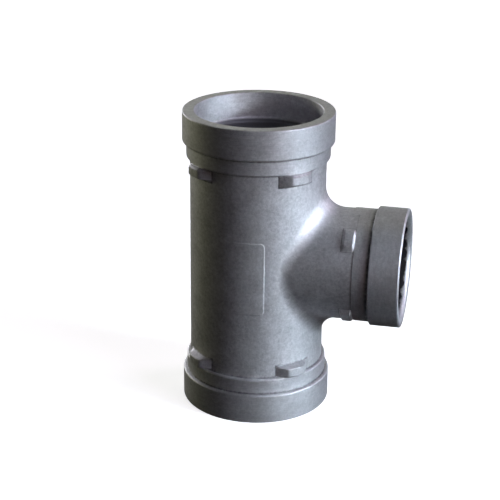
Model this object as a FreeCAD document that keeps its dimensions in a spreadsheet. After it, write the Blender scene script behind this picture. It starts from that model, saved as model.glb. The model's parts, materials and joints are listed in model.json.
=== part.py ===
"""Grooved reducing tee, one stainless steel casting, in millimetres.

The run stands along Z and the branch leaves along +X. The origin is the tee's
centre, where the axes of the run and the branch cross. Each of the three ends
has the same form: a gasket seat as wide as the pipe, the groove that the
coupling's keys drop into, and four lugs right behind the groove.
"""
import FreeCAD, Part
import Sketcher
import math
import os

NODE = "tee_casting"

# Driving sizes, each one written here and nowhere else
SIZES = {
    # The two pipes that the tee joins, and how far each end face is from the centre
    "run_pipe_od": 76.1,
    "branch_pipe_od": 60.3,
    "run_centre_to_end": 77.0,
    "branch_centre_to_end": 76.2,
    # Grooved end: seat and groove along the pipe, groove depth across it
    "seat_width": 15.2,
    "groove_width": 8.2,
    "run_groove_depth": 2.0,
    "branch_groove_depth": 1.58,
    "groove_wall_lean": 0.4,
    # How far the barrel behind the groove lies inside the pipe's outside
    "run_barrel_step": 3.85,
    "branch_barrel_step": 1.85,
    # Thickness of the casting, at the barrels and at the thicker grooved ends
    "barrel_wall": 4.0,
    "run_end_wall": 6.05,
    "branch_end_wall": 4.95,
    # The wider mouth of each waterway and the cone that narrows it
    "mouth_depth": 13.4,
    "mouth_taper": 1.6,
    # Where the barrels meet, outside and inside
    "crotch_round": 11.0,
    "waterway_round": 3.0,
    # Lugs: flats that cut the pipe's circle, and the length along the pipe
    "run_lug_inset": 8.25,
    "branch_lug_inset": 6.65,
    "lug_length": 5.8,
    "lug_end_chamfer": 1.0,
    "lug_root_chamfer": 0.6,
    # Broken edges: end faces, mouths and the seat's back edge
    "end_chamfer": 1.0,
    "mouth_chamfer": 0.8,
    "seat_chamfer": 0.4,
}

# Sizes that follow from the driving ones
DERIVED = {
    "run_pipe_rad": "=run_pipe_od / 2",
    "run_groove_rad": "=run_pipe_rad - run_groove_depth",
    "run_barrel_rad": "=run_pipe_rad - run_barrel_step",
    "run_bore_rad": "=run_barrel_rad - barrel_wall",
    "run_mouth_rad": "=run_pipe_rad - run_end_wall",
    "run_seat_start": "=run_centre_to_end - seat_width",
    "run_groove_start": "=run_seat_start - groove_width",
    "run_groove_clear": "=run_pipe_rad + run_groove_depth",
    "run_lug_half": "=run_pipe_rad - run_lug_inset",
    "branch_pipe_rad": "=branch_pipe_od / 2",
    "branch_groove_rad": "=branch_pipe_rad - branch_groove_depth",
    "branch_barrel_rad": "=branch_pipe_rad - branch_barrel_step",
    "branch_bore_rad": "=branch_barrel_rad - barrel_wall",
    "branch_mouth_rad": "=branch_pipe_rad - branch_end_wall",
    "branch_seat_start": "=branch_centre_to_end - seat_width",
    "branch_groove_start": "=branch_seat_start - groove_width",
    "branch_groove_clear": "=branch_pipe_rad + branch_groove_depth",
    "branch_lug_half": "=branch_pipe_rad - branch_lug_inset",
}

# Two positions closer than this are the same place
SAME_PLACE = 1e-3


def write_sheet(doc):
    """Put every size in the sheet under its own alias."""
    sheet = doc.addObject("Spreadsheet::Sheet", "Sizes")
    rows = {**SIZES, **DERIVED}
    for row, (alias, value) in enumerate(rows.items(), start=1):
        sheet.set(f"A{row}", alias)
        sheet.set(f"B{row}", str(value))
        sheet.setAlias(f"B{row}", alias)
    doc.recompute()
    return sheet


def origin_plane(body, role):
    """Return the body's own origin plane that has this role."""
    return next(feature for feature in body.Origin.OriginFeatures if feature.Role == role)


def new_sketch(body, name, role, offset=None):
    """Add a sketch on one of the body's origin planes, raised by an expression."""
    sketch = body.newObject("Sketcher::SketchObject", name)
    sketch.AttachmentSupport = [(origin_plane(body, role), "")]
    sketch.MapMode = "FlatFace"
    if offset:
        sketch.setExpression("AttachmentOffset.Base.z", offset)
    return sketch


def hold_point(sketch, geometry, end, name, x_rule, y_rule):
    """Tie one end of a sketch line to its distances from the sketch's origin."""
    for kind, letter, rule in (("DistanceX", "x", x_rule), ("DistanceY", "y", y_rule)):
        value = float(sketch.evalExpression(rule))
        index = sketch.addConstraint(Sketcher.Constraint(kind, -1, 1, geometry, end, value))
        sketch.renameConstraint(index, f"{name}_{letter}")
        sketch.setExpression(f"Constraints.{name}_{letter}", rule)


def draw_outline(sketch, corners):
    """Draw the closed outline through named corners, each given by two expressions."""
    points = [
        FreeCAD.Vector(float(sketch.evalExpression(x_rule)), float(sketch.evalExpression(y_rule)), 0)
        for x_rule, y_rule in corners.values()
    ]
    lines = [
        sketch.addGeometry(Part.LineSegment(start, end), False)
        for start, end in zip(points, points[1:] + points[:1])
    ]
    for line, following in zip(lines, lines[1:] + lines[:1]):
        sketch.addConstraint(Sketcher.Constraint("Coincident", line, 2, following, 1))
    for line, (name, rules) in zip(lines, corners.items()):
        hold_point(sketch, line, 1, name, *rules)


def revolve(body, kind, name, sketch, axis):
    """Turn a sketch once round one of its own axes, adding or removing material."""
    feature = body.newObject(f"PartDesign::{kind}", name)
    feature.Profile = sketch
    feature.ReferenceAxis = (sketch, [axis])
    feature.Angle = 360.0
    body.Document.recompute()
    return feature


def seat_end(side):
    """Give the outline corners of one end before its groove, out to the end face."""
    return {
        "barrel": (f"Sizes.{side}_groove_start", f"Sizes.{side}_barrel_rad"),
        "shoulder": (f"Sizes.{side}_groove_start", f"Sizes.{side}_pipe_rad"),
        "end_face": (f"Sizes.{side}_centre_to_end", f"Sizes.{side}_pipe_rad"),
    }


def groove_band(side):
    """Give the outline corners of one groove, which is cut down from the seat."""
    return {
        "groove_back": (f"Sizes.{side}_groove_start", f"Sizes.{side}_groove_rad"),
        "groove_front": (
            f"Sizes.{side}_seat_start - Sizes.groove_wall_lean",
            f"Sizes.{side}_groove_rad",
        ),
        "seat_back": (f"Sizes.{side}_seat_start", f"Sizes.{side}_pipe_rad"),
        "groove_open_front": (f"Sizes.{side}_seat_start", f"Sizes.{side}_groove_clear"),
        "groove_open_back": (f"Sizes.{side}_groove_start", f"Sizes.{side}_groove_clear"),
    }


def waterway_end(side):
    """Give the outline corners of one mouth, from the plain bore out to the end face."""
    return {
        "cone_back": (
            f"Sizes.{side}_centre_to_end - Sizes.mouth_depth - Sizes.mouth_taper",
            f"Sizes.{side}_bore_rad",
        ),
        "cone_front": (
            f"Sizes.{side}_centre_to_end - Sizes.mouth_depth",
            f"Sizes.{side}_mouth_rad",
        ),
        "mouth": (f"Sizes.{side}_centre_to_end", f"Sizes.{side}_mouth_rad"),
    }


def swap(corners):
    """Turn corners given along the axis into corners given across it, for the run."""
    return {name: (across, along) for name, (along, across) in corners.items()}


def run_outline(end):
    """Turn the corners of one end into the outline of the whole run, both ends alike."""
    upper = {f"upper_{name}": (across, along) for name, (along, across) in end.items()}
    lower = {f"lower_{name}": (across, f"-({along})") for name, (along, across) in end.items()}
    top = "Sizes.run_centre_to_end"
    return {
        "axis_bottom": ("0", f"-{top}"),
        **dict(reversed(lower.items())),
        **upper,
        "axis_top": ("0", top),
    }


def branch_outline(end, barrel_rad):
    """Turn the corners of one end into the outline of the branch, from the tee's centre."""
    return {
        "axis_centre": ("0", "0"),
        "barrel_centre": ("0", barrel_rad),
        **end,
        "axis_end": ("Sizes.branch_centre_to_end", "0"),
    }


def draw_lug_plate(sketch, side):
    """Draw the pipe's circle cut by four flats: its corners are the four lugs."""
    radius = float(sketch.evalExpression(f"Sizes.{side}_pipe_rad"))
    half = float(sketch.evalExpression(f"Sizes.{side}_lug_half"))
    flat_turn = math.acos(half / radius)
    circle = Part.Circle(FreeCAD.Vector(0, 0, 0), FreeCAD.Vector(0, 0, 1), radius)
    arcs = []
    flats = []
    for quarter in range(4):
        square_on = quarter * math.pi / 2
        start = square_on + flat_turn
        end = square_on + math.pi / 2 - flat_turn
        arc = Part.ArcOfCircle(circle, start, end)
        arcs.append(sketch.addGeometry(arc, False))
        before = FreeCAD.Vector(
            radius * math.cos(square_on - flat_turn), radius * math.sin(square_on - flat_turn), 0
        )
        after = FreeCAD.Vector(radius * math.cos(start), radius * math.sin(start), 0)
        flats.append(sketch.addGeometry(Part.LineSegment(before, after), False))
    for quarter, (arc, flat) in enumerate(zip(arcs, flats)):
        sketch.addConstraint(Sketcher.Constraint("Coincident", arc, 3, -1, 1))
        sketch.addConstraint(Sketcher.Constraint("Coincident", flat, 2, arc, 1))
        sketch.addConstraint(Sketcher.Constraint("Coincident", flat, 1, arcs[quarter - 1], 2))
        upright = quarter % 2 == 0
        sketch.addConstraint(Sketcher.Constraint("Vertical" if upright else "Horizontal", flat))
        sign = "" if quarter < 2 else "-"
        rule = f"{sign}Sizes.{side}_lug_half"
        value = half if quarter < 2 else -half
        kind = "DistanceX" if upright else "DistanceY"
        index = sketch.addConstraint(Sketcher.Constraint(kind, -1, 1, flat, 1, value))
        sketch.renameConstraint(index, f"flat_{quarter}")
        sketch.setExpression(f"Constraints.flat_{quarter}", rule)
        if quarter:
            sketch.addConstraint(Sketcher.Constraint("Equal", arcs[0], arc))
    index = sketch.addConstraint(Sketcher.Constraint("Radius", arcs[0], radius))
    sketch.renameConstraint(index, "lug_circle")
    sketch.setExpression("Constraints.lug_circle", f"Sizes.{side}_pipe_rad")


def add_lugs(body, side, role):
    """Pad the lug plate back from the groove's rear wall, over the barrel."""
    sketch = new_sketch(
        body, f"{side}_lug_plate", role, f"Sizes.{side}_groove_start - Sizes.lug_length"
    )
    draw_lug_plate(sketch, side)
    pad = body.newObject("PartDesign::Pad", f"{side}_lugs")
    pad.Profile = sketch
    pad.setExpression("Length", "Sizes.lug_length")
    body.Document.recompute()
    return pad


def mirror_down(body, feature, name):
    """Copy an upper feature to the run's lower end, across the plane of the branch."""
    mirrored = body.newObject("PartDesign::Mirrored", name)
    mirrored.Originals = [feature]
    mirrored.MirrorPlane = (origin_plane(body, "XY_Plane"), [""])
    body.Tip = mirrored
    body.Document.recompute()
    return mirrored


def dress_edges(body, kind, name, wanted, size_rule):
    """Round or chamfer each edge of the body so far that the test picks."""
    base = body.Tip
    picked = [
        f"Edge{number}"
        for number, edge in enumerate(base.Shape.Edges, start=1)
        if wanted(edge)
    ]
    if not picked:
        raise RuntimeError(f"{name} finds no edge")
    feature = body.newObject(f"PartDesign::{kind}", name)
    feature.Base = (base, picked)
    feature.setExpression("Radius" if kind == "Fillet" else "Size", size_rule)
    body.Document.recompute()
    return feature


def near(value, target):
    """Tell whether two lengths are the same."""
    return abs(value - target) < SAME_PLACE


def across_and_along(side, point):
    """Return a point's distance from one side's axis and its station along that axis."""
    if side == "run":
        return math.hypot(point.x, point.y), abs(point.z)
    return math.hypot(point.y, point.z), point.x


def positions(side, edge):
    """Return across and along for the ends and the middle of an edge."""
    middle = edge.valueAt((edge.FirstParameter + edge.LastParameter) / 2)
    points = [middle] + [vertex.Point for vertex in edge.Vertexes]
    return [across_and_along(side, point) for point in points]


def saddle_test(run_radius, branch_radius):
    """Make the test for the edge where the branch's cylinder meets the run's."""
    def wanted(edge):
        on_run = all(near(across, run_radius) for across, along in positions("run", edge))
        branch = positions("branch", edge)
        return on_run and all(near(across, branch_radius) and along > 0 for across, along in branch)
    return wanted


def ring_test(sheet, radius, station):
    """Make the test for the circles with this radius and station at the three ends."""
    def wanted(edge):
        return any(
            all(
                near(across, getattr(sheet, f"{side}_{radius}"))
                and near(along, getattr(sheet, f"{side}_{station}"))
                for across, along in positions(side, edge)
            )
            for side in ("run", "branch")
        )
    return wanted


def lug_root_test(sheet):
    """Make the test for the edges where a lug's flats and back meet the barrel."""
    def wanted(edge):
        for side in ("run", "branch"):
            start = getattr(sheet, f"{side}_groove_start")
            back = start - sheet.lug_length
            barrel = getattr(sheet, f"{side}_barrel_rad")
            places = positions(side, edge)
            on_barrel = all(near(across, barrel) for across, along in places)
            beside_lug = all(
                back - SAME_PLACE < along < start + SAME_PLACE for across, along in places
            )
            at_seat = all(near(along, start) for across, along in places)
            if on_barrel and beside_lug and not at_seat:
                return True
        return False
    return wanted


def add_grooves(body):
    """Cut the three grooves down from the seats."""
    run_groove = new_sketch(body, "run_groove_outline", "XZ_Plane")
    draw_outline(run_groove, swap(groove_band("run")))
    upper = revolve(body, "Groove", "run_groove", run_groove, "V_Axis")
    mirror_down(body, upper, "run_groove_lower")
    branch_groove = new_sketch(body, "branch_groove_outline", "XZ_Plane")
    draw_outline(branch_groove, groove_band("branch"))
    revolve(body, "Groove", "branch_groove", branch_groove, "H_Axis")


def build_casting(doc, sheet):
    """Build the tee: both barrels, the crotch, the lugs, the grooves, the waterways."""
    body = doc.addObject("PartDesign::Body", NODE)
    body.Label = NODE

    run_sketch = new_sketch(body, "run_outside", "XZ_Plane")
    draw_outline(run_sketch, run_outline(seat_end("run")))
    revolve(body, "Revolution", "run_barrel", run_sketch, "V_Axis")

    branch_sketch = new_sketch(body, "branch_outside", "XZ_Plane")
    draw_outline(branch_sketch, branch_outline(seat_end("branch"), "Sizes.branch_barrel_rad"))
    revolve(body, "Revolution", "branch_barrel", branch_sketch, "H_Axis")

    outer_saddle = saddle_test(sheet.run_barrel_rad, sheet.branch_barrel_rad)
    dress_edges(body, "Fillet", "crotch", outer_saddle, "Sizes.crotch_round")

    upper_lugs = add_lugs(body, "run", "XY_Plane")
    mirror_down(body, upper_lugs, "run_lugs_lower")
    add_lugs(body, "branch", "YZ_Plane")
    dress_edges(body, "Chamfer", "lug_roots", lug_root_test(sheet), "Sizes.lug_root_chamfer")

    add_grooves(body)
    run_water = new_sketch(body, "run_waterway_outline", "XZ_Plane")
    draw_outline(run_water, run_outline(waterway_end("run")))
    revolve(body, "Groove", "run_waterway", run_water, "V_Axis")
    branch_water = new_sketch(body, "branch_waterway_outline", "XZ_Plane")
    draw_outline(branch_water, branch_outline(waterway_end("branch"), "Sizes.branch_bore_rad"))
    revolve(body, "Groove", "branch_waterway", branch_water, "H_Axis")
    inner_saddle = saddle_test(sheet.run_bore_rad, sheet.branch_bore_rad)
    dress_edges(body, "Fillet", "waterway_crotch", inner_saddle, "Sizes.waterway_round")

    rings = {
        "lug_fronts": ("pipe_rad", "groove_start", "Sizes.lug_end_chamfer"),
        "end_edges": ("pipe_rad", "centre_to_end", "Sizes.end_chamfer"),
        "mouth_edges": ("mouth_rad", "centre_to_end", "Sizes.mouth_chamfer"),
        "seat_edges": ("pipe_rad", "seat_start", "Sizes.seat_chamfer"),
    }
    for name, (radius, station, size_rule) in rings.items():
        dress_edges(body, "Chamfer", name, ring_test(sheet, radius, station), size_rule)
    return body


def check_document(doc):
    """Stop if any feature failed or the casting isn't one valid solid."""
    for item in doc.Objects:
        if "Invalid" in item.State or "Error" in item.State:
            raise RuntimeError(f"{item.Name} is in state {item.State}")
    shape = doc.getObject(NODE).Shape
    if shape.isNull() or not shape.isValid() or len(shape.Solids) != 1:
        raise RuntimeError("the casting is not one valid solid")


def main():
    """Build the document and write the casting's STEP file."""
    doc = FreeCAD.newDocument("grooved_reducing_tee")
    sheet = write_sheet(doc)
    body = build_casting(doc, sheet)
    doc.recompute()
    check_document(doc)
    os.makedirs("parts", exist_ok=True)
    body.Shape.exportStep(f"parts/{NODE}.step")
    print(f"{NODE}: {body.Shape.Volume / 1000:.1f} cm3, box {body.Shape.BoundBox}")


main()
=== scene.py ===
"""Looks of a grooved reducing tee: one stainless casting with a bare raised panel on its front.

The casting is modelled again here with round edges and quads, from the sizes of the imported
frame, and stands in for the CAD node. All lengths are in metres, in the frame of the CAD.
"""

import json
import logging
import math
from collections.abc import Callable, Iterable
from dataclasses import dataclass
from enum import Enum

import bmesh
import bpy
from mathutils import Matrix, Vector

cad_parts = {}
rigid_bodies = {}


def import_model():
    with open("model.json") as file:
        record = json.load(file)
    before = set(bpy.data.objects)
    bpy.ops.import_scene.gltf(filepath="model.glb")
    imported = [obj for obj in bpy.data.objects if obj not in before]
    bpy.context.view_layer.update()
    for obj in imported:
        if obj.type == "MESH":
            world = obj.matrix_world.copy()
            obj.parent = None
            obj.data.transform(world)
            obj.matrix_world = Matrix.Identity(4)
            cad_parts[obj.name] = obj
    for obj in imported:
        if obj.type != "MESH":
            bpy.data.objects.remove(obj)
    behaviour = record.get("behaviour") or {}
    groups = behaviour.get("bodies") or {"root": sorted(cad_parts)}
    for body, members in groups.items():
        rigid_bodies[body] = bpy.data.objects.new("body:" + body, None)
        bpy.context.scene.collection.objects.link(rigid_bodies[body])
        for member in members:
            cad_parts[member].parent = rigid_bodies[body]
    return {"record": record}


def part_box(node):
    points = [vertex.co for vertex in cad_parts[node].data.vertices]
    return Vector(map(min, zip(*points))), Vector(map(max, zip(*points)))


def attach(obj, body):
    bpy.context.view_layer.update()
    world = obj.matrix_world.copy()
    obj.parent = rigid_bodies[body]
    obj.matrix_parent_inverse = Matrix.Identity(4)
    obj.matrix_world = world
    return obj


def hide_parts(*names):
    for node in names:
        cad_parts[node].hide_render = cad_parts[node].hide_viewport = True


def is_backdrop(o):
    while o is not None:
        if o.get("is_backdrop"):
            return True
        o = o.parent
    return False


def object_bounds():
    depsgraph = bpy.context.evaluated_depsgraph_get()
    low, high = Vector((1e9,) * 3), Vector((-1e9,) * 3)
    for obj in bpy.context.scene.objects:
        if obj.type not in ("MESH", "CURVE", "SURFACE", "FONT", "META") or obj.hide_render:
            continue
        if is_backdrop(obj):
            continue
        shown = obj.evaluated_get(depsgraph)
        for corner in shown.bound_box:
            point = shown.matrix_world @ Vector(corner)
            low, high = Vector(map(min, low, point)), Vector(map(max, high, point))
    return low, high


LOG = logging.getLogger("tee")
MM = 0.001
NODE = "tee_casting"
BODY = "root"
MERGE_DISTANCE = 0.002 * MM
SMOOTH_BELOW = math.radians(26)

Piece = bpy.types.Object
Tree = bpy.types.NodeTree
Node = bpy.types.Node
Socket = bpy.types.NodeSocket
Feed = Socket | float | tuple[float, ...]
Colour = tuple[float, float, float, float]
ProfilePoint = tuple[float, float]
RingRule = Callable[[float], ProfilePoint]
Placing = Callable[[float], Vector]


class End(Enum):
    """The three grooved ends, each with the turn that brings +Z onto its own axis."""

    UPPER = (0.0, 0.0, 0.0)
    LOWER = (math.pi, 0.0, 0.0)
    BRANCH = (math.pi / 2, 0.0, math.pi / 2)


def deselect_all() -> None:
    """Leave edit mode and select nothing."""
    if bpy.context.object and bpy.context.object.mode != "OBJECT":
        bpy.ops.object.mode_set(mode="OBJECT")
    bpy.ops.object.select_all(action="DESELECT")


def polar(turn: float, radius: float, height: float) -> Vector:
    """Point at this turn round Z, with its radius and its height."""
    return Vector((radius * math.cos(turn), radius * math.sin(turn), height))


def direction(azimuth: float, elevation: float) -> Vector:
    """Direction from the tee, by its turn from the front to the right and its rise."""
    return polar(azimuth - math.pi / 2, math.cos(elevation), math.sin(elevation))


def extrude_ring(skin: Piece, place: Placing) -> None:
    """Extrude the selected ring and put the new points in place.

    Args:
        skin: Object in edit mode, with its last ring selected.
        place: Gives a new point's position from its turn.
    """
    bpy.ops.mesh.extrude_edges_move()
    shape = bmesh.from_edit_mesh(skin.data)
    turns = shape.verts.layers.float["turn"]
    for point in shape.verts:
        if point.select:
            point.co = place(point[turns])
    bmesh.update_edit_mesh(skin.data)


def ring_skin(name: str, columns: int, rings: Iterable[Placing], capped: bool = False) -> Piece:
    """Model a skin from a circle, which is extruded ring by ring.

    Args:
        name: Name of the new object.
        columns: Number of points in a ring.
        rings: For each ring, what gives a point's position from its turn round the axis.
        capped: Whether the first and the last ring are filled.

    Returns:
        The new object, in edit mode.
    """
    first, *others = rings
    deselect_all()
    bpy.ops.mesh.primitive_circle_add(vertices=columns, radius=1.0)
    skin = bpy.context.object
    skin.name = name
    bpy.ops.object.mode_set(mode="EDIT")
    shape = bmesh.from_edit_mesh(skin.data)
    turns = shape.verts.layers.float.new("turn")
    for point in shape.verts:
        point[turns] = math.atan2(point.co.y, point.co.x)
        point.co = first(point[turns])
    bpy.ops.mesh.select_all(action="SELECT")
    bmesh.update_edit_mesh(skin.data)
    if capped:
        bpy.ops.mesh.edge_face_add()
    for place in others:
        extrude_ring(skin, place)
    if capped:
        bpy.ops.mesh.edge_face_add()
    return skin


def walk(sides: tuple[float, ...], distance: float) -> tuple[int, float]:
    """Follow a path of several sides for a distance.

    Args:
        sides: Lengths of the sides.
        distance: How far to go.

    Returns:
        Index of the side that is reached, and the way along it.
    """
    side = 0
    while distance > sides[side]:
        distance -= sides[side]
        side += 1
    return side, distance


def soft_min(first: float, second: float, reach: float) -> float:
    """Return the smaller of two lengths, eased where they are within reach of each other."""
    near = max(reach - abs(first - second), 0.0)
    return min(first, second) - near * near / (4 * reach)


def finish_skin(piece: Piece) -> None:
    """Turn a closed skin outwards and shade it smooth, with long faces flat beside small rounds.

    Args:
        piece: The active piece, in edit mode.
    """
    bpy.ops.mesh.select_all(action="SELECT")
    bpy.ops.mesh.normals_make_consistent(inside=False)
    bpy.ops.object.mode_set(mode="OBJECT")
    bpy.ops.object.shade_smooth_by_angle(angle=SMOOTH_BELOW)
    weights = piece.modifiers.new("face_area_normals", "WEIGHTED_NORMAL")
    weights.mode = "FACE_AREA"
    weights.keep_sharp = True
    bpy.ops.object.modifier_apply(modifier=weights.name)


def round_corners(corners: list[tuple[float, float, float, int]]) -> list[ProfilePoint]:
    """Follow a profile and replace each corner that has a radius by an arc.

    Args:
        corners: Station, radius, size of the round and number of steps of its arc.

    Returns:
        The points of the profile, as stations and radii.
    """
    points = [Vector(corner[:2]) for corner in corners]
    path = []
    for index, (corner, (_, _, size, steps)) in enumerate(zip(points, corners)):
        if not size:
            path.append((corner.x, corner.y))
            continue
        back = (points[index - 1] - corner).normalized()
        ahead = (points[index + 1] - corner).normalized()
        half_gap = back.angle(ahead) / 2
        centre = corner + (back + ahead).normalized() * size / math.sin(half_gap)
        start = corner + back * size / math.tan(half_gap) - centre
        end = corner + ahead * size / math.tan(half_gap) - centre
        sweep = start.angle_signed(end)
        for step in range(steps + 1):
            arm = start.copy()
            arm.rotate(Matrix.Rotation(-sweep * step / steps, 2))
            path.append(((centre + arm).x, (centre + arm).y))
    return path


def ring_point(turn: float, rule: RingRule) -> Vector:
    """Point of a ring at this turn, from the ring's rule for its station and radius."""
    station, radius = rule(turn)
    return polar(turn, radius, station)


@dataclass(frozen=True)
class GroovedEnd:
    """One end of the tee, modelled along +Z: lugs, groove, seat, end face and mouth.

    Its face and the radii of its pipe and its bore come from the frame's box and mounts. The
    rest are the casting's own, read along the pipe from the end face and across it from the
    pipe's outside.
    """

    face: float
    pipe_radius: float
    bore_radius: float
    groove_depth: float
    lug_half: float
    end_wall: float
    start: float
    columns: int = 288
    wall: float = 4.0 * MM
    seat_width: float = 15.2 * MM
    groove_width: float = 8.2 * MM
    groove_lean: float = 0.4 * MM
    lug_length: float = 6.4 * MM
    lug_slope: float = 1.4 * MM
    lug_chamfer: float = 1.0 * MM
    lug_round: float = 0.6 * MM
    lug_ease: float = 0.4 * MM
    mouth_depth: float = 12.9 * MM
    mouth_taper: float = 2.2 * MM
    mouth_ease: float = 1.2 * MM
    end_round: float = 0.7 * MM
    mouth_round: float = 0.5 * MM
    seat_round: float = 0.9 * MM
    root_round: float = 0.7 * MM
    edge_round: float = 0.35 * MM
    lip_round: float = 0.9 * MM
    least_ease: float = 0.01 * MM
    root_share: float = 0.4
    arc_steps: int = 4
    face_steps: int = 6
    mouth_steps: int = 5

    @property
    def barrel_radius(self) -> float:
        """Outside radius of the barrel behind the lugs."""
        return self.bore_radius + self.wall

    @property
    def groove_radius(self) -> float:
        """Radius of the groove's floor."""
        return self.pipe_radius - self.groove_depth

    @property
    def mouth_radius(self) -> float:
        """Radius of the mouth, which is wider than the plain bore."""
        return self.pipe_radius - self.end_wall

    @property
    def groove_start(self) -> float:
        """Station of the groove's rear wall."""
        return self.face - self.seat_width - self.groove_width

    @property
    def shoulder_root(self) -> float:
        """Round between the barrel and the groove's rear wall, which a low step makes small."""
        step = self.groove_radius - self.barrel_radius
        return min(self.root_round, self.root_share * step)

    def lug_section(self, turn: float, circle: float, inset: float = 0.0) -> float:
        """Radius of the lugs' section: a square's corners, cut off by a circle.

        Args:
            turn: Turn round the end's axis.
            circle: Radius of the circle.
            inset: How far the square's sides are drawn in.

        Returns:
            The radius at that turn, which is never less than the barrel's.
        """
        off_axis = turn % (math.pi / 2)
        off_axis = min(off_axis, math.pi / 2 - off_axis)
        side = (self.lug_half - inset) / math.cos(off_axis)
        ease = min(self.lug_ease, max(circle - self.barrel_radius, self.least_ease))
        return max(self.barrel_radius, soft_min(side, circle, ease))

    def lug_profile(self) -> list[ProfilePoint]:
        """Profile up the lugs' sloping rear faces and along their tops.

        Returns:
            Stations and radii.
        """
        root = self.groove_start - self.lug_length
        corners = [
            (self.start, self.barrel_radius, 0.0, 0),
            (root, self.barrel_radius, self.root_round, self.arc_steps),
            (root + self.lug_slope, self.pipe_radius, self.lug_round, self.arc_steps),
            (self.groove_start - self.lug_chamfer, self.pipe_radius, 0.0, 0),
        ]
        return round_corners(corners)[1:]

    def shoulder_point(self, turn: float, lean: float) -> ProfilePoint:
        """Point just before the groove's rear wall, on the barrel's round or a lug's chamfer.

        Args:
            turn: Turn round the end's axis.
            lean: Turn along the root round, from the barrel to the wall.

        Returns:
            Station and radius.
        """
        before_wall = self.shoulder_root * (1 - math.sin(lean))
        foot = self.barrel_radius + self.shoulder_root * (1 - math.cos(lean))
        inset = self.lug_chamfer - before_wall
        radius = max(foot, self.lug_section(turn, self.pipe_radius - inset, inset))
        return self.groove_start - before_wall, radius

    def wall_point(self, turn: float, lean: float) -> ProfilePoint:
        """Point of the round between the groove's rear wall and its floor.

        Args:
            turn: Turn round the end's axis.
            lean: Turn along the round, from the wall to the floor.

        Returns:
            Station and radius.
        """
        gap = self.shoulder_point(turn, math.pi / 2)[1] - self.groove_radius
        limit = self.edge_round if gap > 0 else self.lip_round
        reach = min(limit, abs(gap))
        station = self.groove_start + reach * (1 - math.cos(lean))
        return station, self.groove_radius + math.copysign(reach, gap) * (1 - math.sin(lean))

    def seat_and_mouth(self) -> list[ProfilePoint]:
        """Profile from the groove's front wall over the seat and face to the plain bore.

        Returns:
            Stations and radii.
        """
        seat_back = self.face - self.seat_width
        mouth_foot = self.face - self.mouth_depth
        steps, ease = self.arc_steps, self.mouth_ease
        corners = [
            (self.groove_start + self.edge_round, self.groove_radius, 0.0, 0),
            (seat_back - self.groove_lean, self.groove_radius, self.edge_round, steps),
            (seat_back, self.pipe_radius, self.seat_round, steps),
            (self.face, self.pipe_radius, self.end_round, self.face_steps),
            (self.face, self.mouth_radius, self.mouth_round, self.mouth_steps),
            (mouth_foot, self.mouth_radius, ease, steps),
            (mouth_foot - self.mouth_taper, self.bore_radius, ease, steps),
            (self.start, self.bore_radius, 0.0, 0),
        ]
        return round_corners(corners)[1:]

    def rings(self) -> Iterable[RingRule]:
        """Rings of the skin in order: barrel, lugs, groove, seat, end face, mouth and bore.

        Returns:
            A rule for the station and the radius at each turn, for each ring.
        """
        yield lambda _: (self.start, self.barrel_radius)
        for station, radius in self.lug_profile():
            yield lambda turn, at=station, circle=radius: (at, self.lug_section(turn, circle))
        for rule in (self.shoulder_point, self.wall_point):
            for step in range(self.arc_steps + 1):
                lean = math.pi / 2 * step / self.arc_steps
                yield lambda turn, rule=rule, lean=lean: rule(turn, lean)
        for point in self.seat_and_mouth():
            yield lambda _, point=point: point

    def build(self, end: End) -> Piece:
        """Model the end as one open skin, from the barrel's outside round to the bore.

        Args:
            end: Which end it is, which gives its turn into place.

        Returns:
            The skin, in place and unturned.
        """
        rings = [lambda turn, rule=rule: ring_point(turn, rule) for rule in self.rings()]
        skin = ring_skin(f"end_{end.name.lower()}", self.columns, rings)
        bpy.ops.object.mode_set(mode="OBJECT")
        skin.rotation_euler = end.value
        bpy.ops.object.transform_apply(location=True, rotation=True, scale=True)
        return skin


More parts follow.
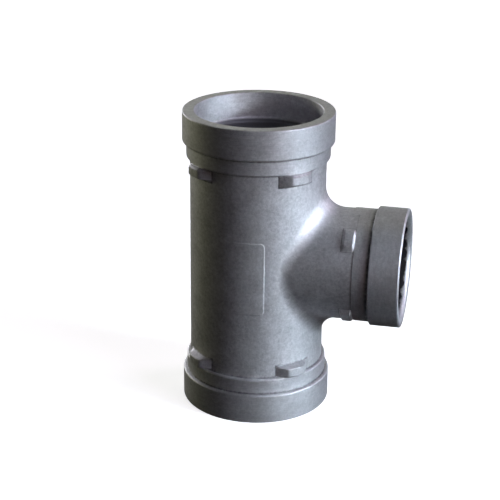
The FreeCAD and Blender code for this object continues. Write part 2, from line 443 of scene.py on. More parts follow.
@dataclass(frozen=True)
class BarrelCross:
    """The run's barrel between its two ends, with the branch's neck blended into its side.

    One cross is the casting's outside and another is its waterway. The blend is the one
    that a ball leaves when it rolls round in the corner between the two cylinders.
    """

    name: str
    run_radius: float
    branch_radius: float
    blend: float
    half_height: float
    neck_end: float
    window_height: float
    blend_steps: int
    columns: int = 288
    window_columns: int = 120
    window_rows: int = 24
    plain_rows: int = 2
    window_steps: int = 8

    @property
    def window_turn(self) -> float:
        """Turn from +X to the side of the window that is left open for the branch."""
        return math.pi * self.window_columns / self.columns

    def blend_point(self, turn: float, share: float) -> Vector:
        """Point on the blend.

        Args:
            turn: Turn round the branch's axis.
            share: Place on the blend's arc, from 0 at the neck to 1 at the run.

        Returns:
            The point.
        """
        ball = polar(turn, self.branch_radius + self.blend, 0.0).zxy
        ball.x = math.sqrt((self.run_radius + self.blend) ** 2 - ball.y**2)
        to_neck = -polar(turn, 1.0, 0.0).zxy
        to_run = -ball.xy.to_3d().normalized()
        return ball + to_neck.slerp(to_run, share) * self.blend

    def window_edge(self, turn: float) -> Vector:
        """Point of the window's edge that a turn round the branch leads to.

        Args:
            turn: Turn round the branch's axis.

        Returns:
            The point's turn round the run, from +X, and its height.
        """
        across, half_side = self.window_columns, self.window_rows / 2
        sides = (half_side, across, self.window_rows, across, half_side)
        corners = ((1, 0), (1, 1), (-1, 1), (-1, -1), (1, -1), (1, 0))
        side, along = walk(sides, turn / (2 * math.pi) * self.columns % self.columns)
        edge = Vector(corners[side]).lerp(Vector(corners[side + 1]), along / sides[side])
        return edge * Vector((self.window_turn, self.window_height))

    def window_point(self, turn: float, share: float) -> Vector:
        """Point on the run's barrel between the blend and the window's edge.

        Args:
            turn: Turn round the branch's axis.
            share: Place between them, from 0 at the blend to 1 at the edge.

        Returns:
            The point.
        """
        foot = self.blend_point(turn, 1.0)
        start = Vector((math.atan2(foot.y, foot.x), foot.z))
        spot = start.lerp(self.window_edge(turn), share)
        return polar(spot.x, self.run_radius, spot.y)

    def barrel(self) -> Piece:
        """Model the run's barrel with an open window for the branch.

        Returns:
            The open skin.
        """
        rows = [
            self.window_height * (2 * row / self.window_rows - 1)
            for row in range(self.window_rows + 1)
        ]
        step = (self.half_height - self.window_height) / self.plain_rows
        above = [self.window_height + step * (row + 1) for row in range(self.plain_rows)]
        heights = [-height for height in reversed(above)] + rows + above
        rings = [lambda turn, at=height: polar(turn, self.run_radius, at) for height in heights]
        barrel = ring_skin(f"{self.name}_barrel", self.columns, rings)
        shape = bmesh.from_edit_mesh(barrel.data)
        for face in shape.faces:
            middle = face.calc_center_median()
            in_turn = abs(math.atan2(middle.y, middle.x)) < self.window_turn
            face.select_set(in_turn and abs(middle.z) < self.window_height)
        bmesh.update_edit_mesh(barrel.data)
        bpy.ops.mesh.delete(type="FACE")
        bpy.ops.object.mode_set(mode="OBJECT")
        return barrel

    def neck(self) -> Piece:
        """Model the branch's neck, its blend and the barrel out to the window's edge.

        Returns:
            The open skin.
        """
        rings = [lambda turn: polar(turn, self.branch_radius, self.neck_end).zxy]
        for rule, steps in (
            (self.blend_point, range(self.blend_steps + 1)),
            (self.window_point, range(1, self.window_steps + 1)),
        ):
            shares = [step / steps[-1] for step in steps]
            rings += [lambda turn, rule=rule, share=share: rule(turn, share) for share in shares]
        neck = ring_skin(f"{self.name}_neck", self.columns, rings)
        bpy.ops.object.mode_set(mode="OBJECT")
        return neck


@dataclass(frozen=True)
class TeeCasting:
    """The whole casting: outside cross, waterway cross and three grooved ends."""

    run: GroovedEnd
    branch: GroovedEnd
    crotch_round: float = 11.0 * MM
    waterway_round: float = 3.0 * MM
    outer_window: float = 42.0 * MM
    inner_window: float = 31.0 * MM
    crotch_steps: int = 18
    waterway_steps: int = 8

    @classmethod
    def from_frame(cls, record: dict) -> "TeeCasting":
        """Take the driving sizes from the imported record's mounts and the node's box.

        Args:
            record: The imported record.

        Returns:
            The casting.
        """
        radius = {
            mount["name"]: mount["dims"]["r_mm"] * MM
            for mount in record["mounts"]
            if "r_mm" in mount["dims"]
        }
        _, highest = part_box(NODE)
        run = GroovedEnd(
            face=highest.z,
            pipe_radius=radius["upper_seat"],
            bore_radius=radius["run_bore"],
            groove_depth=2.0 * MM,
            lug_half=30.0 * MM,
            end_wall=6.05 * MM,
            start=44.0 * MM,
        )
        branch = GroovedEnd(
            face=highest.x,
            pipe_radius=radius["branch_seat"],
            bore_radius=radius["branch_bore"],
            groove_depth=1.58 * MM,
            lug_half=24.0 * MM,
            end_wall=4.95 * MM,
            end_round=1.0 * MM,
            mouth_round=2.8 * MM,
            lug_chamfer=0.75 * MM,
            seat_round=0.45 * MM,
            start=45.5 * MM,
        )
        return cls(run, branch)

    def crosses(self) -> list[Piece]:
        """Model the outside and the waterway where run and branch meet.

        Returns:
            Their open skins.
        """
        skins = []
        for name, wall, blend, window, steps in (
            ("outside", self.run.wall, self.crotch_round, self.outer_window, self.crotch_steps),
            ("waterway", 0.0, self.waterway_round, self.inner_window, self.waterway_steps),
        ):
            cross = BarrelCross(
                name=name,
                run_radius=self.run.bore_radius + wall,
                branch_radius=self.branch.bore_radius + wall,
                blend=blend,
                half_height=self.run.start,
                neck_end=self.branch.start,
                window_height=window,
                blend_steps=steps,
            )
            skins += [cross.barrel(), cross.neck()]
        return skins

    def build(self) -> Piece:
        """Join all the skins into one closed shell with smooth, true normals.

        Returns:
            The casting.
        """
        ends = [self.run.build(End.UPPER), self.run.build(End.LOWER), self.branch.build(End.BRANCH)]
        skins = [*self.crosses(), *ends]
        deselect_all()
        for skin in skins:
            skin.select_set(True)
        casting = skins[0]
        bpy.context.view_layer.objects.active = casting
        bpy.ops.object.join()
        casting.name = casting.data.name = "casting"
        bpy.ops.object.mode_set(mode="EDIT")
        bpy.ops.mesh.select_all(action="SELECT")
        bpy.ops.mesh.remove_doubles(threshold=MERGE_DISTANCE)
        finish_skin(casting)
        return casting


@dataclass(frozen=True)
class MarkPanel:
    """Bare raised panel cast on the front of the run's barrel."""

    barrel_radius: float
    width: float = 21.3 * MM
    height: float = 37.8 * MM
    corner: float = 2.2 * MM
    relief: float = 0.21 * MM
    left_share: float = 0.2
    depth: float = 0.5 * MM
    foot_round: float = 0.5 * MM
    rim_round: float = 0.5 * MM
    slope: float = 0.25 * MM
    foot: float = 0.75 * MM
    skirt: float = 1.0 * MM
    foot_depth: float = 0.0625 * MM
    top_margin: float = 1.5 * MM
    arc_steps: int = 4
    columns: int = 192
    strip: float = 1.0 * MM
    facing: float = -math.pi / 2

    def outline(self, turn: float, offset: float, height: float) -> Vector:
        """Point of the flat panel's rounded outline.

        Args:
            turn: Turn round the panel's middle, which is spread evenly along the outline.
            offset: Distance outside the nominal outline.
            height: Height over the barrel.

        Returns:
            The point, as width, height along the barrel and height over it.
        """
        half_width = self.width / 2 - self.corner
        half_height = self.height / 2 - self.corner
        arc = math.pi / 2 * self.corner
        runs = (2 * half_height, arc, 2 * half_width, arc) * 2
        side, along = walk(runs, turn / (2 * math.pi) % 1.0 * sum(runs))
        quarter = side // 2
        heading = math.pi / 2 * quarter
        right, up = ((1, 1), (-1, 1), (-1, -1), (1, -1))[quarter]
        centre = Vector((right * half_width, up * half_height, height))
        if side % 2:
            heading += along / self.corner
        else:
            centre -= polar(heading + math.pi / 2, runs[side] - along, 0.0)
        return centre + polar(heading, self.corner + offset, 0.0)

    def rim(self) -> list[ProfilePoint]:
        """Profile up the rim, from under the barrel to the flat top.

        Returns:
            Offsets from the outline and heights.
        """
        corners = [
            (self.skirt, -self.depth, 0.0, 0),
            (self.foot, -self.foot_depth, 0.0, 0),
            (self.slope, 0.0, self.foot_round, self.arc_steps),
            (-self.slope, self.relief, self.rim_round, self.arc_steps),
            (-self.top_margin, self.relief, 0.0, 0),
        ]
        return round_corners(corners)

    def wrapped(self, point: Vector) -> Vector:
        """Lay a point of the flat panel on the barrel, lower towards the panel's left side.

        Args:
            point: The point, as width, height along the barrel and height over it.

        Returns:
            The point in place.
        """
        turn = self.facing + point.x / self.barrel_radius
        across = min(max(point.x / self.width + 0.5, 0.0), 1.0)
        share = self.left_share + (1 - self.left_share) * across
        radius = self.barrel_radius + (point.z * share if point.z > 0 else point.z)
        return polar(turn, radius, point.y)

    def build(self) -> Piece:
        """Model the panel flat, cut it into strips and lay it round the barrel.

        Returns:
            The panel.
        """
        rings = [lambda turn, spot=spot: self.outline(turn, *spot) for spot in self.rim()]
        panel = ring_skin("mark_panel", self.columns, rings, capped=True)
        strips = int(self.width / self.strip / 2)
        for step in range(-strips, strips + 1):
            bpy.ops.mesh.select_all(action="SELECT")
            bpy.ops.mesh.bisect(plane_co=(step * self.strip, 0, 0), plane_no=(1, 0, 0))
        shape = bmesh.from_edit_mesh(panel.data)
        for point in shape.verts:
            point.co = self.wrapped(point.co)
        bmesh.update_edit_mesh(panel.data)
        finish_skin(panel)
        return panel


class Blend(Enum):
    """What a Mix node blends: its data type, its two inputs and its output."""

    VALUE = ("FLOAT", 2, 3, 0)
    PLACE = ("VECTOR", 4, 5, 1)
    COLOUR = ("RGBA", 6, 7, 2)


@dataclass(frozen=True)
class Wiring:
    """Adds nodes to one tree and feeds each input by a socket or by a fixed value."""

    tree: Tree

    @classmethod
    def of(cls, owner: bpy.types.Material | bpy.types.World) -> "Wiring":
        """Start the nodes of a material or a world afresh.

        Args:
            owner: The material or the world.

        Returns:
            Its empty tree, ready for nodes.
        """
        owner.use_nodes = True
        owner.node_tree.nodes.clear()
        return cls(owner.node_tree)

    def node(self, kind: str, inputs: dict[str | int, Feed] | None = None, **settings: object) -> Node:
        """Add a node.

        Args:
            kind: Type of the node.
            inputs: What feeds each of its inputs.
            settings: Other properties of the node.

        Returns:
            The new node.
        """
        node = self.tree.nodes.new(kind)
        for name, value in settings.items():
            setattr(node, name, value)
        for key, value in (inputs or {}).items():
            if isinstance(value, Socket):
                self.tree.links.new(value, node.inputs[key])
            else:
                node.inputs[key].default_value = value
        return node

    def math(self, operation: str, *values: Feed) -> Socket:
        """Add a Math node and return its result."""
        node = self.node("ShaderNodeMath", dict(enumerate(values)), operation=operation)
        return node.outputs[0]

    def vector(self, operation: str, *values: Feed) -> Socket:
        """Add a Vector Math node and return its result, a number for a length or distance."""
        node = self.node("ShaderNodeVectorMath", dict(enumerate(values)), operation=operation)
        return node.outputs["Value" if operation in ("LENGTH", "DISTANCE") else "Vector"]

    def mix(self, blend: Blend, share: Feed, first: Feed, second: Feed) -> Socket:
        """Add a Mix node.

        Args:
            blend: What it blends.
            share: The second input's share.
            first: Result at share 0.
            second: Result at share 1.

        Returns:
            The blend.
        """
        kind, low, high, result = blend.value
        inputs = {0: share, low: first, high: second}
        return self.node("ShaderNodeMix", inputs, data_type=kind).outputs[result]

    def span(
        self,
        value: Feed,
        source: tuple[float, float],
        target: tuple[float, float] = (0.0, 1.0),
        ease: str = "LINEAR",
    ) -> Socket:
        """Add a Map Range node.

        Args:
            value: The value to map.
            source: The range that it comes from.
            target: The range that it is brought to, and held in.
            ease: How it goes from one end to the other.

        Returns:
            The mapped value.
        """
        names = ("Value", "From Min", "From Max", "To Min", "To Max")
        inputs = dict(zip(names, (value, *source, *target)))
        node = self.node("ShaderNodeMapRange", inputs, interpolation_type=ease)
        return node.outputs["Result"]

    def noise(self, place: Socket, scale: Feed, detail: float, **more: float) -> Socket:
        """Add a Noise Texture node.

        Args:
            place: Where the noise is read.
            scale: Blotches per metre.
            detail: Number of finer layers.
            more: Any other inputs.

        Returns:
            The noise, from 0 to 1.
        """
        inputs = {"Vector": place, "Scale": scale, "Detail": detail, **more}
        return self.node("ShaderNodeTexNoise", inputs).outputs["Fac"]


@dataclass(frozen=True)
class EffectGroup(Wiring):
    """Node group of one effect, which reads coordinates and a few named numbers."""

    given: Node

    @classmethod
    def start(cls, name: str, **values: float) -> "EffectGroup":
        """Start the group.

        Args:
            name: Name of the group.
            values: Its number inputs and their usual values.

        Returns:
            The group, with no outputs yet.
        """
        tree = bpy.data.node_groups.new(name, "ShaderNodeTree")
        tree.interface.new_socket("Place", in_out="INPUT", socket_type="NodeSocketVector")
        for label, value in values.items():
            socket = tree.interface.new_socket(label, in_out="INPUT", socket_type="NodeSocketFloat")
            socket.default_value = value
        return cls(tree, tree.nodes.new("NodeGroupInput"))

    @property
    def place(self) -> Socket:
        """The point that the group is read at."""
        return self.given.outputs["Place"]

    def finish(self, **outputs: Socket) -> Tree:
        """Put out the effect's masks, tones and heights.

        Args:
            outputs: The group's outputs by name.

        Returns:
            The finished group.
        """
        for label in outputs:
            self.tree.interface.new_socket(label, in_out="OUTPUT", socket_type="NodeSocketFloat")
        self.node("NodeGroupOutput", outputs)
        return self.tree


@dataclass(frozen=True)
class BlastGrain:
    """Fine pebbled grain that shot leaves on a casting."""

    pebbles_per_metre: float = 1500.0
    pits_per_metre: float = 700.0
    pit_share: float = 0.35
    grain_span: tuple[float, float] = (0.3, 0.7)

    def group(self) -> Tree:
        """Build the grain's node group.

        Returns:
            The group, with a height and a tone that changes from pebble to pebble.
        """
        wires = EffectGroup.start(
            "blast_grain", Pebbles=self.pebbles_per_metre, Pits=self.pits_per_metre
        )
        given = wires.given.outputs
        pebbles = wires.noise(wires.place, given["Pebbles"], detail=2.0, Roughness=0.6)
        pits = wires.node(
            "ShaderNodeTexVoronoi",
            {"Vector": wires.place, "Scale": given["Pits"]},
            feature="SMOOTH_F1",
        ).outputs["Distance"]
        return wires.finish(
            Height=wires.mix(Blend.VALUE, self.pit_share, pebbles, pits),
            Grain=wires.span(pebbles, self.grain_span),
        )


@dataclass(frozen=True)
class PickleClouds:
    """Broad faint clouds that pickling leaves in the tone of the steel."""

    clouds_per_metre: float = 90.0
    specks_per_metre: float = 640.0
    speck_share: float = 0.55
    distortion: float = 0.4
    tone_span: tuple[float, float] = (0.32, 0.68)

    def group(self) -> Tree:
        """Build the clouds' node group.

        Returns:
            The group, with the tone.
        """
        wires = EffectGroup.start(
            "pickle_clouds", Clouds=self.clouds_per_metre, Specks=self.specks_per_metre
        )
        given, bend = wires.given.outputs, self.distortion
        clouds = wires.noise(wires.place, given["Clouds"], detail=3.0, Distortion=bend)
        specks = wires.noise(wires.place, given["Specks"], detail=2.0, Distortion=bend)
        both = wires.mix(Blend.VALUE, self.speck_share, clouds, specks)
        return wires.finish(Tone=wires.span(both, self.tone_span))


@dataclass(frozen=True)
class EndProbe:
    """Sockets that say where a point lies on one grooved end.

    The station runs along the end's axis and the radius away from it. The section is the
    point folded into one quarter of the end's cross-section, between two directions.
    """

    wires: EffectGroup
    end: GroovedEnd
    station: Socket
    radius: Socket
    section: Socket
    sides: tuple[Vector, Vector]

    @classmethod
    def along(
        cls, wires: EffectGroup, end: GroovedEnd, axis: str, sides: tuple[Vector, Vector]
    ) -> "EndProbe":
        """Add the nodes that read a point's place along one axis.

        Args:
            wires: Group that gets the nodes.
            end: The end on that axis.
            axis: The axis's letter. The run has an end on either side, so Z is folded.
            sides: The two directions across it.

        Returns:
            The probe.
        """
        folded = wires.vector("ABSOLUTE", wires.place)
        section = wires.vector("MULTIPLY", folded, tuple(sides[0] + sides[1]))
        source = folded if axis == "Z" else wires.place
        parts = wires.node("ShaderNodeSeparateXYZ", {0: source})
        radius = wires.vector("LENGTH", section)
        return cls(wires, end, parts.outputs[axis], radius, section, sides)

    def from_ring(self, station: float, radius: float) -> Socket:
        """Add nodes that give the distance from a ring at a station and a radius."""
        profile = self.wires.node("ShaderNodeCombineXYZ", {0: self.station, 1: self.radius})
        return self.wires.vector("DISTANCE", profile.outputs[0], (station, radius, 0.0))

    def from_lug_sides(self) -> Socket:
        """Add nodes that give the distance from the feet of the lugs' flat sides.

        Returns:
            The distance.
        """
        end = self.end
        aside = math.sqrt(end.barrel_radius**2 - end.lug_half**2)
        middle = end.groove_start - end.lug_length / 2
        off_middle = self.wires.math("ABSOLUTE", self.wires.math("SUBTRACT", self.station, middle))
        past = self.excess(off_middle, end.lug_length / 2)
        feet = [
            self.wires.vector("DISTANCE", self.section, tuple(one * end.lug_half + other * aside))
            for one, other in (self.sides, self.sides[::-1])
        ]
        return self.wires.math("ADD", self.wires.math("MINIMUM", *feet), past)

    def from_lug_rears(self) -> Socket:
        """Add nodes that give the distance from the feet of the lugs' sloping rear faces.

        Returns:
            The distance.
        """
        end = self.end
        root = end.groove_start - end.lug_length
        half_turn = math.pi / 4 - math.acos(end.lug_half / end.barrel_radius)
        half_width = 2 * end.barrel_radius * math.sin(half_turn / 2)
        corner = (self.sides[0] + self.sides[1]) * end.barrel_radius * math.sqrt(0.5)
        off_corner = self.wires.vector("DISTANCE", self.section, tuple(corner))
        past = self.excess(off_corner, half_width)
        return self.wires.math("ADD", self.from_ring(root, end.barrel_radius), past)

    def excess(self, value: Socket, limit: float) -> Socket:
        """Add nodes that give how far a value lies over a limit."""
        return self.wires.math("MAXIMUM", self.wires.math("SUBTRACT", value, limit), 0.0)


@dataclass(frozen=True)
class EndEffect:
    """Effect that follows the sizes of the tee's grooved ends."""

    run: GroovedEnd
    branch: GroovedEnd

    def probes(self, wires: EffectGroup) -> tuple[EndProbe, EndProbe]:
        """Read a point's place on the ends of the run and on the branch's.

        Args:
            wires: Group that gets the nodes.

        Returns:
            The run's probe and the branch's.
        """
        x, y, z = Matrix.Identity(3)
        return (
            EndProbe.along(wires, self.run, "Z", (x, y)),
            EndProbe.along(wires, self.branch, "X", (y, z)),
        )


@dataclass(frozen=True)
class TurnedRings(EndEffect):
    """Mask and faint rings of the ends that were turned: groove, seat, end face and mouth."""

    rings_per_metre: float = 2600.0
    streaks_per_metre: float = 260.0
    streak_stretch: float = 3.0
    streak_span: tuple[float, float] = (0.32, 0.68)

    def group(self) -> Tree:
        """Build the turned ends' node group.

        Returns:
            The group, with the mask, the height of the rings and the tone of the streaks.
        """
        wires = EffectGroup.start(
            "turned_rings", Rings=self.rings_per_metre, Streaks=self.streaks_per_metre
        )
        probes = self.probes(wires)
        on_run, on_branch = (
            wires.math("GREATER_THAN", probe.station, probe.end.groove_start)
            for probe in probes
        )
        paths = [wires.math("ADD", probe.radius, probe.station) for probe in probes]
        rings = wires.node(
            "ShaderNodeTexNoise",
            {
                "W": wires.mix(Blend.VALUE, on_branch, *paths),
                "Scale": wires.given.outputs["Rings"],
                "Detail": 1.0,
            },
            noise_dimensions="1D",
        )
        return wires.finish(
            Mask=wires.math("MAXIMUM", on_run, on_branch),
            Height=rings.outputs["Fac"],
            Streaks=self.streaks(wires, on_branch),
        )

    def streaks(self, wires: EffectGroup, on_branch: Socket) -> Socket:
        """Add nodes that draw blotches stretched round each end.

        Args:
            wires: Group that gets the nodes.
            on_branch: Mask of the branch's end.

        Returns:
            The blotches' tone.
        """
        stretches = ((1.0, 1.0, self.streak_stretch), (self.streak_stretch, 1.0, 1.0))
        places = [wires.vector("MULTIPLY", wires.place, stretch) for stretch in stretches]
        place = wires.mix(Blend.PLACE, on_branch, *places)
        blotches = wires.noise(place, wires.given.outputs["Streaks"], detail=3.0)
        return wires.span(blotches, self.streak_span)


@dataclass(frozen=True)
class StainReach:
    """How far the painted shade spreads from an end's corners."""

    groove_front: float
    groove_rear: float
    lug_side: float
    lug_rear: float


@dataclass(frozen=True)
class CornerStain(EndEffect):
    """Painted shade: a dark tone in the sharp corners of each groove and at the foot of each lug."""

    # Reaches of the painted shade in the corners of the run's and the branch's ends.
    run_reach: StainReach = StainReach(1.1 * MM, 1.1 * MM, 0.55 * MM, 0.9 * MM)
    branch_reach: StainReach = StainReach(2.2 * MM, 0.2 * MM, 0.3 * MM, 0.4 * MM)

    def group(self) -> Tree:
        """Build the painted corner shade's node group.

        Returns:
            The group, with the mask of the painted shade.
        """
        wires = EffectGroup.start("corner_stain")
        reaches = (self.run_reach, self.branch_reach)
        shares = [self.share(probe, reach) for probe, reach in zip(self.probes(wires), reaches)]
        nearest = wires.math("MINIMUM", *shares)
        return wires.finish(Mask=wires.span(nearest, (0.0, 1.0), (1.0, 0.0), "SMOOTHSTEP"))

    def share(self, probe: EndProbe, reach: StainReach) -> Socket:
        """Add nodes that give the distance from an end's nearest corner, as a share.

        Args:
            probe: A point's place on the end.
            reach: How far the painted shade spreads from each corner.

        Returns:
            The share, which is 0 in a corner and 1 where its painted shade ends.
        """
        end = probe.end
        front = end.face - end.seat_width - end.groove_lean
        distances = (
            (probe.from_ring(front, end.groove_radius), reach.groove_front),
            (probe.from_ring(end.groove_start, end.barrel_radius), reach.groove_rear),
            (probe.from_lug_sides(), reach.lug_side),
            (probe.from_lug_rears(), reach.lug_rear),
        )
        nearest, *others = [
            probe.wires.math("DIVIDE", distance, limit) for distance, limit in distances
        ]
        for share in others:
            nearest = probe.wires.math("MINIMUM", nearest, share)
        return nearest


@dataclass(frozen=True)
class RawBore(EndEffect):
    """Masks of painted shade: in the waterway, partly as-cast steel, and deep in the branch's mouth.
    """

    # Span over the mouth's step, where the waterway's painted shade fades in.
    raw_span: tuple[float, float] = (0.15, 0.5)
    # Painted shade deep in the branch's mouth: where it starts, how it fades and how ragged its edge
    # is.
    residue_depth: float = 2.2 * MM
    residue_fade: float = 1.0 * MM
    residue_ragged: float = 6.0 * MM
    residue_patch: float = 6.0 * MM
    wall_play: float = 0.1 * MM

    def group(self) -> Tree:
        """Build the raw bore's node group.

        Returns:
            The group, with the masks of the waterway's and of the mouth's painted shade.
        """
        wires = EffectGroup.start("raw_bore")
        run, branch = self.probes(wires)
        past_run = wires.math("GREATER_THAN", branch.station, self.run.bore_radius)
        in_branch = wires.math("MULTIPLY", self.inside(branch), past_run)
        return wires.finish(
            Mask=wires.math("MAXIMUM", self.inside(run), in_branch),
            Residue=wires.math("MULTIPLY", self.residue(branch), past_run),
        )

    def inside(self, probe: EndProbe) -> Socket:
        """Add a node that turns from 0 at the mouth's wall to 1 at the plain bore's.

        Args:
            probe: A point's place on the end.

        Returns:
            The mask.
        """
        mouth = probe.end.mouth_radius
        step = mouth - probe.end.bore_radius
        span = tuple(mouth - share * step for share in self.raw_span)
        return probe.wires.span(probe.radius, span)

    def residue(self, probe: EndProbe) -> Socket:
        """Add nodes that start the painted shade behind the branch's mouth with a ragged edge.

        Args:
            probe: A point's place on the end of the branch.

        Returns:
            The painted shade's mask.
        """
        wires = probe.wires
        patches = wires.noise(wires.place, 1.0 / self.residue_patch, detail=4.0)
        ragged = wires.math("MULTIPLY_ADD", patches, self.residue_ragged, -self.residue_ragged / 2)
        start = self.branch.face - self.residue_depth
        station = wires.math("ADD", probe.station, ragged)
        deep = wires.span(station, (start, start - self.residue_fade))
        wall = self.branch.mouth_radius + self.wall_play
        return wires.math("MULTIPLY", deep, wires.math("LESS_THAN", probe.radius, wall))


@dataclass(frozen=True)
class StainlessFinish:
    """Blasted and pickled stainless, with its turned ends faintly smoother."""

    grain: BlastGrain
    clouds: PickleClouds
    rings: TurnedRings
    stain: CornerStain
    bore: RawBore
    name: str = "cast_stainless"
    dark_steel: Colour = (0.42, 0.425, 0.43, 1.0)
    light_steel: Colour = (0.73, 0.735, 0.735, 1.0)
    # Painted shade: the dark tone laid into the corners of the grooves and lugs.
    stained_steel: Colour = (0.17, 0.17, 0.17, 1.0)
    # Painted shade: the near-black tone deep in the branch's mouth.
    residue_steel: Colour = (0.05, 0.05, 0.052, 1.0)
    # Partly the waterway's duller as-cast steel, partly painted shade inside the bore.
    raw_steel: Colour = (0.2, 0.2, 0.205, 1.0)
    smooth_cast: float = 0.57
    rough_cast: float = 0.66
    turned_roughness: float = 0.58
    grain_depth: float = 0.056 * MM
    grain_share: float = 0.3
    streak_share: float = 0.35
    # How strongly the painted corner shade darkens the steel, where the clouds' tone breaks it up.
    stain_share: float = 1.1
    stain_gap: float = 0.4

    def material(self) -> bpy.types.Material:
        """Build the material of the casting.

        Returns:
            The material.
        """
        material = bpy.data.materials.new(self.name)
        wires = Wiring.of(material)
        place = wires.node("ShaderNodeTexCoord").outputs["Object"]
        grain, clouds, rings, stain, bore = (
            wires.node("ShaderNodeGroup", {"Place": place}, node_tree=part.group()).outputs
            for part in (self.grain, self.clouds, self.rings, self.stain, self.bore)
        )
        streaked = wires.math("MULTIPLY", rings["Mask"], self.streak_share)
        broad = wires.mix(Blend.VALUE, streaked, clouds["Tone"], rings["Streaks"])
        tone = wires.mix(Blend.VALUE, self.grain_share, broad, grain["Grain"])
        clean = wires.mix(Blend.COLOUR, tone, self.dark_steel, self.light_steel)
        broken = wires.span(clouds["Tone"], (0.0, 1.0), (self.stain_share, self.stain_gap))
        # Painted shade in the corners, broken up by the clouds' tone.
        left = wires.math("MULTIPLY", stain["Mask"], broken)
        stained = wires.mix(Blend.COLOUR, left, clean, self.stained_steel)
        # Painted shade deep in the branch's mouth.
        crusted = wires.mix(Blend.COLOUR, bore["Residue"], stained, self.residue_steel)
        cast = wires.span(tone, (0.0, 1.0), (self.rough_cast, self.smooth_cast))
        turned = wires.math("MAXIMUM", wires.math("SUBTRACT", rings["Mask"], bore["Mask"]), 0.0)
        bump = wires.node(
            "ShaderNodeBump",
            {
                "Height": wires.mix(Blend.VALUE, turned, grain["Height"], rings["Height"]),
                "Strength": 1.0,
                "Distance": self.grain_depth,
            },
        )
        # The waterway's base colour is painted darker, partly as-cast steel and partly painted shade.
        shader = wires.node(
            "ShaderNodeBsdfPrincipled",
            {
                "Base Color": wires.mix(Blend.COLOUR, bore["Mask"], crusted, self.raw_steel),
                "Metallic": 1.0,
                "Roughness": wires.mix(Blend.VALUE, turned, cast, self.turned_roughness),
                "Normal": bump.outputs["Normal"],
            },
        )
        wires.node("ShaderNodeOutputMaterial", {"Surface": shader.outputs["BSDF"]})
        return material


@dataclass(frozen=True)
class Softbox:
    """One soft lamp, placed by its direction from the tee and turned towards it."""

    name: str
    azimuth: float
    elevation: float
    power: float
    tint: tuple[float, float, float] = (1.0, 1.0, 1.0)
    height: float = 0.35
    width: float = 0.7
    distance: float = 2.0
    spread: float = math.pi
    aim_height: float = 0.0

    def hang(self) -> None:
        """Hang the lamp."""
        away = direction(math.radians(self.azimuth), math.radians(self.elevation))
        lamp = bpy.data.lights.new(self.name, "AREA")
        lamp.shape = "RECTANGLE"
        lamp.size = self.width
        lamp.size_y = self.height
        lamp.energy = self.power
        lamp.color = self.tint
        lamp.spread = self.spread
        stand = bpy.data.objects.new(self.name, lamp)
        stand.location = away * self.distance
        beam = stand.location - Vector((0.0, 0.0, self.aim_height))
        stand.rotation_euler = beam.to_track_quat("Z", "Y").to_euler()
        stand.visible_camera = False
        bpy.context.scene.collection.objects.link(stand)


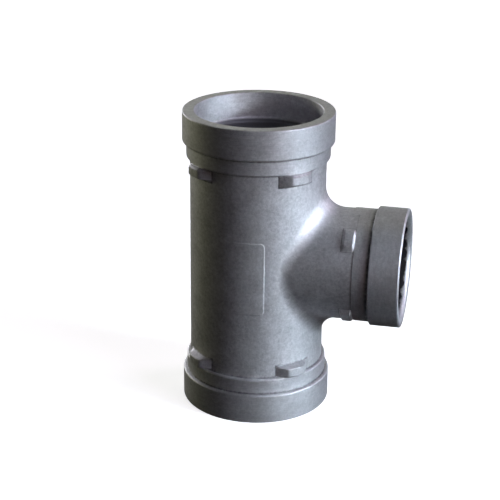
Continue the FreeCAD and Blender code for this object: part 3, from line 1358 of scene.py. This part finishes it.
@dataclass(frozen=True)
class Studio:
    """Plain pale floor, a white surround and the soft lamps."""

    floor_height: float
    softboxes: tuple[Softbox, ...] = (
        Softbox("front_right_softbox", 45.0, 12.0, 3.3, (1.00, 0.65, 0.54)),
        Softbox("rear_softbox", 195.0, 12.0, 1.9, (0.97, 1.00, 0.80)),
        Softbox("rear_left_softbox", 225.0, 12.0, 13.0, (0.93, 0.91, 1.00)),
        Softbox("left_softbox", 255.0, 4.0, 3.95, (1.00, 0.98, 0.68)),
        Softbox("high_right_softbox", 60.0, 27.0, 12.5, (0.79, 0.77, 1.00), 0.7),
        Softbox("high_rear_right_softbox", 120.0, 27.0, 10.2, (0.94, 0.78, 1.00), 0.7),
        Softbox("steep_rear_softbox", 180.0, 66.0, 2.14, (1.00, 0.97, 0.77), 0.9, 0.9),
        Softbox(
            "low_right_gridbox",
            75.0,
            12.0,
            1.5,
            (0.73, 0.86, 1.00),
            spread=math.radians(21),
            aim_height=-0.15,
        ),
    )
    floor_size: float = 8.0
    floor_seen: Colour = (0.8, 0.8, 0.8, 1.0)
    floor_bounce: Colour = (0.02, 0.02, 0.02, 1.0)
    floor_white: float = 0.76
    floor_gloss: float = 0.005
    white: Colour = (1.0, 1.0, 1.0, 1.0)
    surround_gloss: float = 0.02

    def shown(self, wires: Wiring, white: float, share: float) -> Socket:
        """Add nodes that light a background up for the camera and less so for reflections.

        Args:
            wires: Nodes of the floor's or the surround's finish.
            white: Level that the camera sees.
            share: Level that glossy and clear surfaces see.

        Returns:
            The level for the ray that is traced.
        """
        rays = wires.node("ShaderNodeLightPath").outputs
        reflected = wires.math("MAXIMUM", rays["Is Glossy Ray"], rays["Is Transmission Ray"])
        dim = wires.math("MULTIPLY", reflected, share)
        return wires.math("MULTIPLY_ADD", rays["Is Camera Ray"], white, dim)

    def floor_material(self) -> bpy.types.Material:
        """Build the floor's finish: pale, and white where the camera sees it.

        Returns:
            The material.
        """
        material = bpy.data.materials.new("pale_floor")
        wires = Wiring.of(material)
        level = self.shown(wires, self.floor_white, self.floor_gloss)
        lit = wires.node("ShaderNodeEmission", {"Color": self.white, "Strength": level})
        rays = wires.node("ShaderNodeLightPath").outputs
        pale = wires.mix(Blend.COLOUR, rays["Is Camera Ray"], self.floor_bounce, self.floor_seen)
        plain = wires.node("ShaderNodeBsdfDiffuse", {"Color": pale})
        both = wires.node("ShaderNodeAddShader", {0: lit.outputs[0], 1: plain.outputs[0]})
        wires.node("ShaderNodeOutputMaterial", {"Surface": both.outputs[0]})
        return material

    def lay_floor(self) -> None:
        """Lay the floor under the tee."""
        deselect_all()
        bpy.ops.mesh.primitive_plane_add(size=self.floor_size, location=(0.0, 0.0, self.floor_height))
        floor = bpy.context.object
        floor.name = "floor"
        bpy.ops.object.transform_apply(location=True, rotation=True, scale=True)
        floor.data.materials.append(self.floor_material())
        floor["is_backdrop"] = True

    def surround(self) -> None:
        """Make the surround white to the camera and dim to the steel."""
        world = bpy.data.worlds.new("white_surround")
        wires = Wiring.of(world)
        level = self.shown(wires, 1.0, self.surround_gloss)
        lit = wires.node("ShaderNodeBackground", {"Color": self.white, "Strength": level})
        wires.node("ShaderNodeOutputWorld", {"Surface": lit.outputs[0]})
        bpy.context.scene.world = world

    def build(self) -> None:
        """Set up the floor, the surround and every lamp."""
        self.lay_floor()
        self.surround()
        for softbox in self.softboxes:
            softbox.hang()


@dataclass(frozen=True)
class CameraStand:
    """Camera at the angle from which the tee was pictured."""

    azimuth: float = math.radians(12.333)
    elevation: float = math.radians(21.355)
    roll: float = math.radians(0.571)
    distance: float = 727.07 * MM
    aim_right: float = -3.756 * MM
    aim_up: float = 2.333 * MM
    image_width: float = 500.0
    focal_pixels: float = 1418.4
    sensor_width: float = 36.0
    near: float = 0.01

    def build(self) -> None:
        """Place the camera and make it the scene's own."""
        back = direction(self.azimuth, self.elevation)
        right = polar(self.azimuth, 1.0, 0.0)
        up = back.cross(right)
        aim = right * self.aim_right + up * self.aim_up
        image_right = right * math.cos(self.roll) + up * math.sin(self.roll)
        image_up = up * math.cos(self.roll) - right * math.sin(self.roll)
        place = Matrix((image_right, image_up, back)).transposed().to_4x4()
        place.translation = aim + back * self.distance
        lens = bpy.data.cameras.new("camera")
        lens.sensor_width = self.sensor_width
        lens.lens = self.focal_pixels / self.image_width * self.sensor_width
        lens.clip_start = self.near
        stand = bpy.data.objects.new("camera", lens)
        stand.matrix_world = place
        bpy.context.scene.collection.objects.link(stand)
        bpy.context.scene.camera = stand


def dress(piece: Piece, finish: bpy.types.Material) -> None:
    """Give a piece its finish and its body, and report it.

    Args:
        piece: The piece.
        finish: Its material.
    """
    piece.data.materials.clear()
    piece.data.materials.append(finish)
    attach(piece, BODY)
    LOG.info("%s: %d faces", piece.name, len(piece.data.polygons))


def main() -> None:
    """Load the frame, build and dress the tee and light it."""
    logging.basicConfig(level=logging.INFO)
    for leftover in list(bpy.data.objects):
        bpy.data.objects.remove(leftover)
    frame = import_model()
    cad_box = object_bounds()
    CameraStand().build()
    tee = TeeCasting.from_frame(frame["record"])
    ends = (tee.run, tee.branch)
    finish = StainlessFinish(
        grain=BlastGrain(),
        clouds=PickleClouds(),
        rings=TurnedRings(*ends),
        stain=CornerStain(*ends),
        bore=RawBore(*ends),
    ).material()
    casting = tee.build()
    dress(casting, finish)
    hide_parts(NODE)
    panel = MarkPanel(tee.run.barrel_radius).build()
    dress(panel, finish)
    Studio(floor_height=cad_box[0].z).build()
    bpy.context.scene.view_settings.view_transform = "Standard"


if __name__ == "__main__":
    main()
